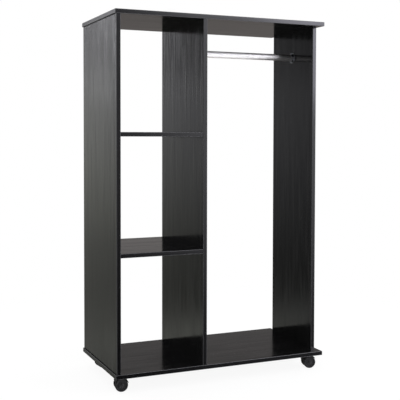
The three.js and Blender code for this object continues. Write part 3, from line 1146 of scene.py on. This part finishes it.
@dataclass
class Caster:
    """A twin-wheel swivel caster: plate, screws, swivel pin, hooded fork, axle and two wheels.

    The fork, axle and wheels are made about the axle's middle, with +X from the wheels towards the
    swivel pin, Y along the axle and +Z up, and then placed by the joints of the frame.
    """

    corner: Corner
    joints: dict[str, dict[str, Any]]  # the frame's joints, by name

    plate_side: float = 38
    plate_corner: float = 4
    plate_edge: float = 0.35
    race_radius: float = 11.5
    race_width: float = 2.4
    race_depth: float = 0.7
    race_slope: float = 0.4
    race_root: float = 0.5
    pin_radius: float = 4
    pin_chamfer: float = 0.8
    pin_flange_radius: float = 6.5
    pin_flange_height: float = 1
    pin_flange_chamfer: float = 0.25
    pin_clearance: float = 0.3
    axle_radius: float = 2.5
    axle_chamfer: float = 0.4
    axle_clearance: float = 0.3
    axle_in_wheel: float = 9
    wheel_width: float = 12
    wheel_spacing: float = 14
    wheel_clearance: float = 0.5
    wheel_facets: int = 96
    bore_chamfer: float = 0.4
    hub_radius: float = 7
    # A wheel's inner face has a flat ring round the hub and one inside the tread, and a shallow
    # recess between them
    hub_ring: float = 1
    rim_ring: float = 3.6
    recess_slope: float = 0.4
    recess_depth: float = 0.35
    inner_shoulder: float = 1.5
    outer_shoulder: float = 2.4
    tread_crown: float = 0.45  # where the tread is widest, as a share of its width
    tread_depth: float = 1.9
    web_edge: float = 0.7
    hood_inner: float = 23.5
    hood_wall: float = 1.9
    hood_width: float = 34
    hood_start: float = 15  # in degrees up from the pin's side
    hood_end: float = 150
    hood_round: float = 0.75
    hood_lip: float = 0.3
    hood_end_round: float = 0.6
    socket_radius: float = 8
    socket_floor: float = 1.5
    socket_foot_chamfer: float = 0.6
    socket_top_chamfer: float = 0.5

    # How far the cutters reach, so that they come out on both sides
    PLATE_DRILL = 5
    AXLE_DRILL = 30
    WHEEL_ROOM = 40
    # The corners of a wheel's outer face. First, from the rim inwards, each is so far in from the
    # tread and so far below the rim: the rim steps down to a dished web
    RIM_STEPS = ((5.2, 0.0), (5.5, 0.3), (5.8, 1.0), (6.4, 1.25), (8.0, 1.3))
    # Then each is so far out from the hub's radius and so far below the rim: a groove, and a
    # domed cap inside it
    HUB_STEPS = (
        (1.2, 1.0), (0.5, 0.9), (0.0, 1.2), (-0.5, 0.8), (-1.4, 0.45), (-4.2, 0.25), (-7.0, 0.2))

    def __post_init__(self) -> None:
        """Finds the caster's place and heading from the frame's joints."""
        name = self.corner.value
        self.pin_place = Vector(self.joints[f"swivel_{name}"]["pos_m"]) / MM
        self.axle_place = Vector(self.joints[f"roll_{name}_front"]["pos_m"]) / MM
        trail = self.pin_place - self.axle_place
        self.trail = trail.xy.length
        self.heading = math.atan2(trail.y, trail.x)
        turn = Matrix.Rotation(self.heading, 4, "Z")
        self.about_axle = Matrix.Translation(self.axle_place) @ turn

    def screw_places(self) -> dict[str, Matrix]:
        """Finds where the plate's four screws stand.

        Returns:
            Their places by CAD node.
        """
        screw = PanScrew()
        nodes = [f"caster_screw_{self.corner.value}_{i}" for i in (1, 2, 3, 4)]
        return {node: screw.place(node, Vector((0, 0, 1))) for node in nodes}

    def build(self, screws: dict[str, Matrix]) -> list[bpy.types.Object]:
        """Builds the caster.

        Args:
            screws: Where the small screws stand, by CAD node.

        Returns:
            Its pieces.
        """
        own = list(self.screw_places())
        pieces = [self._plate([screws[node] for node in own])]
        screw_solid = PanScrew().solid()
        for i, node in enumerate(own, 1):
            pieces.append(screw_solid.moved(screws[node]).piece(
                f"plate_screw_{self.corner.value}_{i}", [ZINC_PLATED_STEEL.material()], "cabinet",
                "zinc_steel", [node]))
        return [*pieces, self._pin(), self._fork(), self._axle(), *map(self._wheel, TwinWheel)]

    def _plate(self, screws: Sequence[Matrix]) -> bpy.types.Object:
        """Builds the pressed plate with its rounded corners and the raised ring of its ball race.

        Args:
            screws: Where its screws stand.

        Returns:
            The piece.
        """
        name = self.corner.value
        low, high = node_box(f"caster_plate_{name}")
        inner = self.plate_side / 2 - self.plate_corner
        outline = []
        for start, (i, j) in zip((0, 90, 180, 270), ((1, 1), (-1, 1), (-1, -1), (1, -1))):
            outline += arc((i * inner, j * inner), self.plate_corner, start, start + 90, 6)
        plate = Solid.raised(outline, low.z, high.z, self.plate_edge)
        root, crest = low.z + self.race_root, low.z - self.race_depth
        out, into = self.race_radius, self.race_radius - self.race_width
        ring = Solid.turned([(out, root), (out - self.race_slope, crest),
                             (into + self.race_slope, crest), (into, root)], facets=64)
        centre = Matrix.Translation((self.pin_place.x, self.pin_place.y, 0))
        wide, reach = PanScrew().radius + PanScrew().clearance, self.PLATE_DRILL
        drill = Solid.turned([(0, -reach), (wide, -reach), (wide, reach), (0, reach)], facets=24)
        holes = [drill.moved(Matrix.Translation(screw.translation)) for screw in screws]
        plate = plate.worked([ring], Joining.UNION).moved(centre).worked(holes, Joining.DIFFERENCE)
        return plate.piece(
            f"mounting_plate_{name}", [BLACK_PASSIVATED_STEEL.material()], "cabinet",
            "black_steel_plate", [f"caster_plate_{name}"])

    def _pin(self) -> bpy.types.Object:
        """Builds the swivel pin with its flange.

        Returns:
            The piece.
        """
        name = self.corner.value
        low, high = node_box(f"swivel_pin_{name}")
        radius, end = self.pin_radius, self.pin_chamfer
        rim, edge = self.pin_flange_radius, self.pin_flange_chamfer
        under = high.z - self.pin_flange_height
        pin = Solid.turned([(0, low.z), (radius - end, low.z), (radius, low.z + end),
                            (radius, under), (rim - edge, under), (rim, under + edge),
                            (rim, high.z - edge), (rim - edge, high.z), (0, high.z)], facets=40)
        centre = Matrix.Translation((self.pin_place.x, self.pin_place.y, 0))
        return pin.moved(centre).piece(
            f"king_pin_{name}", [ZINC_PLATED_STEEL.material()], "cabinet", "zinc_steel",
            [f"swivel_pin_{name}"])

    def _fork(self) -> bpy.types.Object:
        """Builds the fork: a web between the wheels, a hood over them and the pin's socket.

        Returns:
            The piece.
        """
        name = self.corner.value
        pin_low, pin_high = node_box(f"swivel_pin_{name}")
        floor = pin_low.z - self.pin_clearance - self.axle_place.z
        top = pin_high.z - self.pin_flange_height - self.pin_clearance - self.axle_place.z
        at_pin = Matrix.Translation((self.trail, 0, 0))
        wide = self.pin_radius + self.pin_clearance
        bore = Solid.turned([(0, floor), (wide, floor), (wide, top + PAST), (0, top + PAST)],
                            facets=40)
        hole, reach = self.axle_radius + self.axle_clearance, self.AXLE_DRILL
        axle_hole = Solid.turned([(0, -reach), (hole, -reach), (hole, reach), (0, reach)],
                                 facets=32)
        axle_hole = axle_hole.moved(Matrix.Rotation(math.pi / 2, 4, "X"))
        socket = self._socket(floor, top).moved(at_pin)
        socket = socket.worked(self._wheel_rooms(), Joining.DIFFERENCE)
        fork = self._web().worked([self._hood(), socket], Joining.UNION)
        fork = fork.worked([bore.moved(at_pin), axle_hole], Joining.DIFFERENCE)
        return fork.moved(self.about_axle).piece(
            f"hooded_fork_{name}", [FORK_NYLON.material()], f"caster_{name}", "caster_plastic",
            [f"caster_fork_{name}"])

    def _web(self) -> Solid:
        """Makes the upright web between the wheels, from the hub up to the hood.

        Returns:
            The solid.
        """
        half = self.wheel_spacing / 2 - self.wheel_clearance
        in_hood = self.hood_inner + self.hood_wall / 2
        outline = arc((0, 0), in_hood, self.hood_start, self.hood_end, 28)
        outline += arc((0, 0), self.hub_radius, self.hood_end, self.hood_start + 360, 18)
        upright = Matrix.Rotation(math.pi / 2, 4, "X")
        return Solid.raised(outline, -half, half, self.web_edge).moved(upright)

    def _hood(self) -> Solid:
        """Makes the hood over both wheels, its outer edges rounded.

        Returns:
            The solid.
        """
        inner, outer = self.hood_inner, self.hood_inner + self.hood_wall
        half, turn, lip = self.hood_width / 2, self.hood_round, self.hood_lip
        section = [*arc((outer - turn, half - turn), turn, 0, 90, 4), (inner + lip, half),
                   (inner, half - lip), (inner, -half + lip), (inner + lip, -half),
                   *arc((outer - turn, -half + turn), turn, -90, 0, 4)]
        return Solid.swept(section, self.hood_start, self.hood_end, 40, self.hood_end_round)

    def _socket(self, floor: float, top: float) -> Solid:
        """Makes the post that holds the pin, solid until it is bored.

        Args:
            floor: The height of the bore's floor above the axle.
            top: The height of the post's upper end above the axle.

        Returns:
            The solid.
        """
        radius, foot = self.socket_radius, floor - self.socket_floor
        lower, upper = self.socket_foot_chamfer, self.socket_top_chamfer
        return Solid.turned([(0, foot), (radius - lower, foot), (radius, foot + lower),
                             (radius, top - upper), (radius - upper, top), (0, top)], facets=48)

    def _wheel_rooms(self) -> list[Solid]:
        """Makes the rooms in which the two wheels turn.

        Returns:
            The rooms, as cutters.
        """
        half = self.wheel_spacing / 2 - self.wheel_clearance
        wide, reach = self.hood_inner, self.WHEEL_ROOM
        room = Solid.turned([(0, 0), (wide, 0), (wide, reach), (0, reach)], facets=96)
        return [room.moved(Matrix.Translation((0, side * half, 0))
                           @ Matrix.Rotation(-side * math.pi / 2, 4, "X")) for side in (-1, 1)]

    def _axle(self) -> bpy.types.Object:
        """Builds the steel axle with its chamfered ends.

        Returns:
            The piece.
        """
        name = self.corner.value
        radius, end = self.axle_radius, self.axle_chamfer
        half = self.wheel_spacing / 2 + self.axle_in_wheel
        axle = Solid.turned([(0, -half), (radius - end, -half), (radius, -half + end),
                             (radius, half - end), (radius - end, half), (0, half)], facets=32)
        return axle.moved(self.about_axle @ Matrix.Rotation(math.pi / 2, 4, "X")).piece(
            f"wheel_axle_{name}", [ZINC_PLATED_STEEL.material()], f"caster_{name}", "zinc_steel",
            [f"caster_axle_{name}"])

    def _wheel(self, which: TwinWheel) -> bpy.types.Object:
        """Builds one wheel: a rounded tread, a raised rim, a dished face and a domed hub.

        Args:
            which: Which of the two wheels.

        Returns:
            The piece.
        """
        wheel_name = f"{self.corner.value}_{which.value}"
        low, high = node_box(f"caster_wheel_{wheel_name}")
        along = Vector((-math.sin(self.heading), math.cos(self.heading), 0))
        side = math.copysign(1, ((low + high) / 2 - self.axle_place) @ along)
        radius = self.axle_place.z
        wheel = Solid.turned(self._wheel_profile(radius), self.wheel_facets)
        # The tread takes the second of the two materials below
        for face in wheel.mesh.faces:
            in_tread = face.calc_center_median().xy.length > radius - self.tread_depth
            face.material_index = 1 if in_tread else 0
        place = (self.about_axle @ Matrix.Translation((0, side * self.wheel_spacing / 2, 0))
                 @ Matrix.Rotation(-side * math.pi / 2, 4, "X"))
        return wheel.moved(place).piece(
            f"twin_wheel_{wheel_name}", [WHEEL_POLYPROPYLENE.material(), RUN_IN_TREAD.material()],
            f"wheel_{wheel_name}", "wheel_plastic", [f"caster_wheel_{wheel_name}"])

    def _wheel_profile(self, radius: float) -> list[Point]:
        """Draws a wheel's section, from the blind bore out over the tread and back to the hub.

        Args:
            radius: The wheel's radius.

        Returns:
            Radius and height of each corner, with the inner face at height 0.
        """
        width, hub = self.wheel_width, self.hub_radius
        blind = self.axle_in_wheel + self.axle_clearance
        hole = self.axle_radius + self.axle_clearance
        hub_ring, rim_ring = hub + self.hub_ring, radius - self.rim_ring
        inner, outer = self.inner_shoulder, self.outer_shoulder
        return [
            (0, blind), (hole, blind), (hole, self.bore_chamfer), (hole + self.bore_chamfer, 0),
            (hub_ring, 0), (hub_ring + self.recess_slope, self.recess_depth),
            (rim_ring - self.recess_slope, self.recess_depth), (rim_ring, 0),
            *arc((radius - inner, inner), inner, 270, 350, 4),
            (radius, width * self.tread_crown),
            *arc((radius - outer, width - outer), outer, 6, 90, 7),
            *((radius - inwards, width - down) for inwards, down in self.RIM_STEPS),
            *((hub + outwards, width - down) for outwards, down in self.HUB_STEPS),
        ]


@dataclass(frozen=True)
class RayFacts:
    """Outputs of the world's node tree that tell which way a ray goes and of what kind it is."""

    way: bpy.types.NodeSocket
    x: bpy.types.NodeSocket
    y: bpy.types.NodeSocket
    z: bpy.types.NodeSocket
    height: bpy.types.NodeSocket
    breadth: bpy.types.NodeSocket
    path: bpy.types.Node


@dataclass(frozen=True)
class Surround:
    """The room round the wardrobe, which the world draws by the direction of a ray.

    Matt surfaces get plain, even light from it, and where it is seen directly it is white. In a
    mirror it is a studio: bright below and overhead, with a bright window at the front right.
    Behind the wardrobe that studio is in shade and brightens to the left, as the boards of the
    photograph show it.

    A ramp gives brightness by position. By height its positions run from 0, straight down, over
    0.5, level, to 1, straight up. By breadth they run from 0, left, to 1, right.
    """

    ambient: float = 0.6
    front_by_height: Ramp = (
        (0.0, 1.7), (0.24, 1.5), (0.31, 0.35), (0.34, 0.02), (0.37, 0.02), (0.4, 0.16),
        (0.48, 0.6), (0.56, 0.82), (0.65, 1.6))
    front_by_breadth: Ramp = (
        (0.4, 0.45), (0.575, 0.0), (0.63, 0.15), (0.675, 0.7), (0.7, 2.2), (0.76, 2.3))
    rear_left_by_height: Ramp = (
        (0.0, 0.5), (0.25, 0.1), (0.34, 0.04), (0.375, 0.155), (0.41, 0.135), (0.433, 0.17),
        (0.45, 0.235), (0.485, 0.37), (0.51, 0.45), (0.528, 0.49), (0.55, 0.27), (0.65, 0.4),
        (0.8, 0.9))
    rear_left_by_breadth: Ramp = ((0.225, 0.55), (0.31, 0.97), (0.35, 1.38), (0.4, 1.5))
    rear_right_by_height: Ramp = (
        (0.0, 0.9), (0.3, 0.3), (0.4, 0.185), (0.56, 0.27), (0.64, 0.16), (0.8, 0.8))
    # A narrow lit patch of wall stands behind the upper left and fades out at its foot
    patch_by_breadth: Ramp = ((0.331, 0.0), (0.34, 1.5), (0.349, 1.5), (0.358, 0.0))
    patch_foot: Point = (0.03, 0.14)  # parts of the direction along Z
    patch_level: float = 1.4
    # At the far left the floor behind is light again, below a line that falls to the right
    foot_slope: Place = (-0.16, 0.0, -1.0)
    foot_line: Point = (0.262, 0.297)
    foot_from: Point = (-0.3, -0.36)  # parts of the direction along X
    foot_level: float = 0.28
    # Where front and rear meet, and left and right: parts of the direction along Y and along X
    behind_from: Point = (-0.25, 0.25)
    left_from: Point = (-0.1, -0.22)
    # What is mirrored twice, board in board, is nearly dark in the photograph
    mirrored_again: float = 0.07
    # Faint tints. They go slightly above 1, so they are written as linear values
    front_tint: Colour = (1.0, 0.995, 1.06, 1.0)
    left_tints: tuple[Colour, Colour] = ((0.985, 0.985, 1.03, 1.0), (1.015, 1.035, 0.94, 1.0))
    left_tint_slope: Place = (4.5, 0.0, -5.0)
    left_tint_line: Point = (-1.86, -0.86)
    right_tints: tuple[Colour, Colour] = ((1.0, 0.92, 0.88, 1.0), (1.0, 0.955, 0.95, 1.0))
    right_tint_line: Point = (-0.15, 0.25)

    def build(self) -> None:
        """Makes the world: plain ambient light, white where it is seen, the room in mirrors."""
        world = bpy.data.worlds.new("studio_surround")
        bpy.context.scene.world = world
        world.use_nodes = True
        # The surround differs by the kind of ray, so it mustn't be sampled as a lamp
        world.cycles.sampling_method = "NONE"
        tree = world.node_tree
        tree.nodes.clear()
        ray = self._facts(tree)
        camera = ray.path.outputs["Is Camera Ray"]
        mirror = add_node(tree, "Math", {"operation": "MAXIMUM"}, {
            0: ray.path.outputs["Is Glossy Ray"], 1: ray.path.outputs["Is Transmission Ray"]})
        seen = add_node(tree, "Math", {"operation": "MAXIMUM"}, {0: camera, 1: mirror.outputs[0]})
        behind = add_node(tree, "MapRange", {"interpolation_type": "SMOOTHSTEP"}, {
            "Value": ray.y, "From Min": self.behind_from[0], "From Max": self.behind_from[1]})
        left = add_node(tree, "MapRange", {"interpolation_type": "SMOOTHSTEP"}, {
            "Value": ray.x, "From Min": self.left_from[0], "From Max": self.left_from[1]})
        front, rear = self._front(tree, ray), self._rear(tree, ray, left.outputs[0])
        room = add_node(tree, "Mix", {"data_type": "FLOAT"}, {
            0: behind.outputs[0], 2: front, 3: rear})
        shown = add_node(tree, "Mix", {"data_type": "FLOAT"}, {
            0: camera, 2: room.outputs[0], 3: 1.0})
        level = add_node(tree, "Mix", {"data_type": "FLOAT"}, {
            0: seen.outputs[0], 2: self.ambient, 3: shown.outputs[0]})
        rear_tint = self._rear_tint(tree, ray, left.outputs[0])
        room_tint = add_node(tree, "Mix", {"data_type": "RGBA"}, {
            0: behind.outputs[0], 6: self.front_tint, 7: rear_tint})
        tint = add_node(tree, "Mix", {"data_type": "RGBA"}, {
            0: mirror.outputs[0], 6: (1, 1, 1, 1), 7: room_tint.outputs[2]})
        surround = add_node(tree, "Background", {}, {
            "Color": tint.outputs[2], "Strength": level.outputs[0]})
        add_node(tree, "OutputWorld", inputs={"Surface": surround.outputs[0]})

    @staticmethod
    def _facts(tree: bpy.types.NodeTree) -> RayFacts:
        """Adds the nodes that tell which way a ray goes and of what kind it is.

        Args:
            tree: The world's node tree.

        Returns:
            Their outputs.
        """
        way = add_node(tree, "TexCoord").outputs["Generated"]
        axes = add_node(tree, "SeparateXYZ", {}, {0: way}).outputs
        height, breadth = (
            add_node(tree, "MapRange", {}, {
                "Value": axes[part], "From Min": -1.0, "From Max": 1.0}).outputs[0]
            for part in ("Z", "X"))
        path = add_node(tree, "LightPath")
        return RayFacts(way, axes["X"], axes["Y"], axes["Z"], height, breadth, path)

    def _front(self, tree: bpy.types.NodeTree, ray: RayFacts) -> bpy.types.NodeSocket:
        """Draws the room in front of the wardrobe.

        Args:
            tree: The world's node tree.
            ray: What is known of the ray.

        Returns:
            Its brightness.
        """
        by_height = add_node(tree, "ValToRGB", {}, {0: ray.height}, stops=self.front_by_height)
        by_breadth = add_node(tree, "ValToRGB", {}, {0: ray.breadth}, stops=self.front_by_breadth)
        return add_node(tree, "Math", {"operation": "MULTIPLY"}, {
            0: by_height.outputs[0], 1: by_breadth.outputs[0]}).outputs[0]

    def _rear(
        self, tree: bpy.types.NodeTree, ray: RayFacts, left: bpy.types.NodeSocket
    ) -> bpy.types.NodeSocket:
        """Draws the room behind the wardrobe.

        Args:
            tree: The world's node tree.
            ray: What is known of the ray.
            left: How far the ray belongs to the left part.

        Returns:
            Its brightness.
        """
        rear_right = add_node(tree, "ValToRGB", {}, {0: ray.height},
                              stops=self.rear_right_by_height)
        rear = add_node(tree, "Mix", {"data_type": "FLOAT"}, {
            0: left, 2: rear_right.outputs[0], 3: self._rear_left(tree, ray)})
        again = add_node(tree, "Math", {"operation": "GREATER_THAN"}, {
            0: ray.path.outputs["Glossy Depth"], 1: 1.5})
        return add_node(tree, "Mix", {"data_type": "FLOAT"}, {
            0: again.outputs[0], 2: rear.outputs[0], 3: self.mirrored_again}).outputs[0]

    def _rear_left(self, tree: bpy.types.NodeTree, ray: RayFacts) -> bpy.types.NodeSocket:
        """Draws the room behind and to the left: a wall, a lit patch on it, and the floor.

        Args:
            tree: The world's node tree.
            ray: What is known of the ray.

        Returns:
            Its brightness.
        """
        patch_breadth = add_node(tree, "ValToRGB", {}, {0: ray.breadth},
                                 stops=self.patch_by_breadth)
        patch_height = add_node(tree, "MapRange", {}, {
            "Value": ray.z, "From Min": self.patch_foot[0], "From Max": self.patch_foot[1],
            "To Max": self.patch_level})
        patch = add_node(tree, "Math", {"operation": "MULTIPLY"}, {
            0: patch_breadth.outputs[0], 1: patch_height.outputs[0]})
        by_height = add_node(tree, "ValToRGB", {}, {0: ray.height}, stops=self.rear_left_by_height)
        by_breadth = add_node(tree, "ValToRGB", {}, {0: ray.breadth},
                              stops=self.rear_left_by_breadth)
        wall = add_node(tree, "Math", {"operation": "MULTIPLY_ADD"}, {
            0: by_height.outputs[0], 1: by_breadth.outputs[0], 2: patch.outputs[0]})
        below = add_node(tree, "VectorMath", {"operation": "DOT_PRODUCT"}, {
            0: ray.way, 1: self.foot_slope})
        foot_height = add_node(tree, "MapRange", {"interpolation_type": "SMOOTHSTEP"}, {
            "Value": below.outputs["Value"], "From Min": self.foot_line[0],
            "From Max": self.foot_line[1]})
        foot_breadth = add_node(tree, "MapRange", {"interpolation_type": "SMOOTHSTEP"}, {
            "Value": ray.x, "From Min": self.foot_from[0], "From Max": self.foot_from[1],
            "To Max": self.foot_level})
        return add_node(tree, "Math", {"operation": "MULTIPLY_ADD"}, {
            0: foot_height.outputs[0], 1: foot_breadth.outputs[0], 2: wall.outputs[0]}).outputs[0]

    def _rear_tint(
        self, tree: bpy.types.NodeTree, ray: RayFacts, left: bpy.types.NodeSocket
    ) -> bpy.types.NodeSocket:
        """Tints the room behind: at the left cool above and greenish below, at the right warm.

        Args:
            tree: The world's node tree.
            ray: What is known of the ray.
            left: How far the ray belongs to the left part.

        Returns:
            The tint.
        """
        lean = add_node(tree, "VectorMath", {"operation": "DOT_PRODUCT"}, {
            0: ray.way, 1: self.left_tint_slope})
        green = add_node(tree, "MapRange", {}, {
            "Value": lean.outputs["Value"], "From Min": self.left_tint_line[0],
            "From Max": self.left_tint_line[1]})
        left_tint = add_node(tree, "Mix", {"data_type": "RGBA"}, {
            0: green.outputs[0], 6: self.left_tints[0], 7: self.left_tints[1]})
        rise = add_node(tree, "MapRange", {}, {
            "Value": ray.z, "From Min": self.right_tint_line[0],
            "From Max": self.right_tint_line[1]})
        right_tint = add_node(tree, "Mix", {"data_type": "RGBA"}, {
            0: rise.outputs[0], 6: self.right_tints[0], 7: self.right_tints[1]})
        return add_node(tree, "Mix", {"data_type": "RGBA"}, {
            0: left, 6: right_tint.outputs[2], 7: left_tint.outputs[2]}).outputs[2]


@dataclass
class Studio:
    """The floor, the light and the camera. Lengths here are in metres."""

    surround: Surround = Surround()
    floor_radius: float = 9.0
    floor_tone: float = 0.8
    floor_seen_tone: float = 0.17
    floor_glow: float = 0.915
    floor_fade: Point = (0.7, 1.6)  # it fades to pure white between these, from the middle
    softbox_at: Place = (1.8, -2.35, 1.8)
    softbox_aim: Place = (0.0, 0.0, 1.2)
    softbox_size: Point = (0.8, 1.4)  # width and height
    softbox_watts: float = 11.0
    softbox_tint: Place = (0.86, 0.85, 1.0)
    camera_at: Place = (-1.2351, -2.7887, 0.8622)
    camera_turn: float = 23.738  # degrees from +Y towards +X
    camera_dip: float = 2.0
    camera_roll: float = 0.105
    camera_reach: float = 50.0
    focal_pixels: float = 823.54
    axis_row: float = 164.95  # the row that the camera's axis meets
    picture_pixels: float = 400.0
    sensor: float = 36.0

    def build(self) -> None:
        """Builds the floor, the surround, the softbox and the camera."""
        self._floor()
        self.surround.build()
        self._softbox()
        self._camera()

    def _floor(self) -> None:
        """Builds the pale floor, which shows white and keeps the wardrobe's soft shadow."""
        mesh = bmesh.new()
        bmesh.ops.create_circle(mesh, cap_ends=True, segments=96, radius=self.floor_radius)
        data = bpy.data.meshes.new("studio_floor")
        mesh.to_mesh(data)
        floor = bpy.data.objects.new("studio_floor", data)
        bpy.context.scene.collection.objects.link(floor)
        data.materials.append(finished("pale_studio_floor", self._floor_shader))

    def _floor_shader(self, tree: bpy.types.NodeTree) -> bpy.types.NodeSocket:
        """Fills the floor's node tree.

        Args:
            tree: The empty tree.

        Returns:
            The shader's output.
        """
        path = add_node(tree, "LightPath").outputs
        tone, seen = self.floor_tone, self.floor_seen_tone
        bouncing = add_node(tree, "BsdfDiffuse", {}, {"Color": (tone, tone, tone, 1)})
        shaded = add_node(tree, "BsdfDiffuse", {}, {"Color": (seen, seen, seen, 1)})
        glow = add_node(tree, "Emission", {}, {"Color": (1, 1, 1, 1), "Strength": self.floor_glow})
        near = add_node(tree, "AddShader", {}, {0: shaded.outputs[0], 1: glow.outputs[0]})
        place = add_node(tree, "TexCoord").outputs["Object"]
        away = add_node(tree, "VectorMath", {"operation": "LENGTH"}, {0: place})
        fade = add_node(tree, "MapRange", {"interpolation_type": "SMOOTHSTEP"}, {
            "Value": away.outputs["Value"], "From Min": self.floor_fade[0],
            "From Max": self.floor_fade[1]})
        white = add_node(tree, "Emission", {}, {"Color": (1, 1, 1, 1), "Strength": 1.0})
        shown = add_node(tree, "MixShader", {}, {
            0: fade.outputs[0], 1: near.outputs[0], 2: white.outputs[0]})
        direct = add_node(tree, "Math", {"operation": "MAXIMUM"}, {
            0: path["Is Camera Ray"], 1: path["Is Transmission Ray"]})
        first = add_node(tree, "MixShader", {}, {
            0: direct.outputs[0], 1: bouncing.outputs[0], 2: shown.outputs[0]})
        # In a mirror the floor is part of the surround that the world draws
        clear = add_node(tree, "BsdfTransparent")
        last = add_node(tree, "MixShader", {}, {
            0: path["Is Glossy Ray"], 1: first.outputs[0], 2: clear.outputs[0]})
        return last.outputs[0]

    def _softbox(self) -> None:
        """Hangs an upright softbox at the front right, which faces the wardrobe's upper half."""
        data = bpy.data.lights.new("front_right_softbox", "AREA")
        data.shape = "RECTANGLE"
        data.size, data.size_y = self.softbox_size
        data.energy = self.softbox_watts
        data.color = self.softbox_tint
        lamp = bpy.data.objects.new("front_right_softbox", data)
        lamp.location = self.softbox_at
        towards = Vector(self.softbox_aim) - Vector(self.softbox_at)
        lamp.rotation_euler = towards.to_track_quat("-Z", "Y").to_euler()
        bpy.context.scene.collection.objects.link(lamp)

    def _camera(self) -> None:
        """Sets the camera where the photograph was taken: at the front left, a little dipped."""
        data = bpy.data.cameras.new("photograph_camera")
        data.sensor_width = self.sensor
        data.lens = self.focal_pixels * self.sensor / self.picture_pixels
        data.shift_y = (self.axis_row - self.picture_pixels / 2) / self.picture_pixels
        data.clip_end = self.camera_reach
        camera = bpy.data.objects.new("photograph_camera", data)
        turn = Matrix.Rotation(math.radians(-self.camera_turn), 4, "Z")
        dip = Matrix.Rotation(math.radians(90 - self.camera_dip), 4, "X")
        roll = Matrix.Rotation(math.radians(self.camera_roll), 4, "Z")
        camera.matrix_world = Matrix.Translation(self.camera_at) @ turn @ dip @ roll
        bpy.context.scene.collection.objects.link(camera)
        bpy.context.scene.camera = camera


def main() -> None:
    """Builds the wardrobe piece by piece, then the studio."""
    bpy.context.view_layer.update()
    bpy.context.scene.view_settings.view_transform = "Standard"
    joints = {joint["name"]: joint for joint in frame["joints"]}
    casters = [Caster(corner, joints) for corner in Corner]
    rail = HangingRail()
    screws = rail.screw_places()
    for caster in casters:
        screws.update(caster.screw_places())
    for part in (Cabinet(), rail, *casters):
        for made in part.build(screws):
            LOG.info("built %s", made.name)
    Studio().build()
    LOG.info("set up the floor, the surround, the softbox and the camera")


if __name__ == "__main__":
    logging.basicConfig(level=logging.INFO, format="%(name)s: %(message)s")
    main()
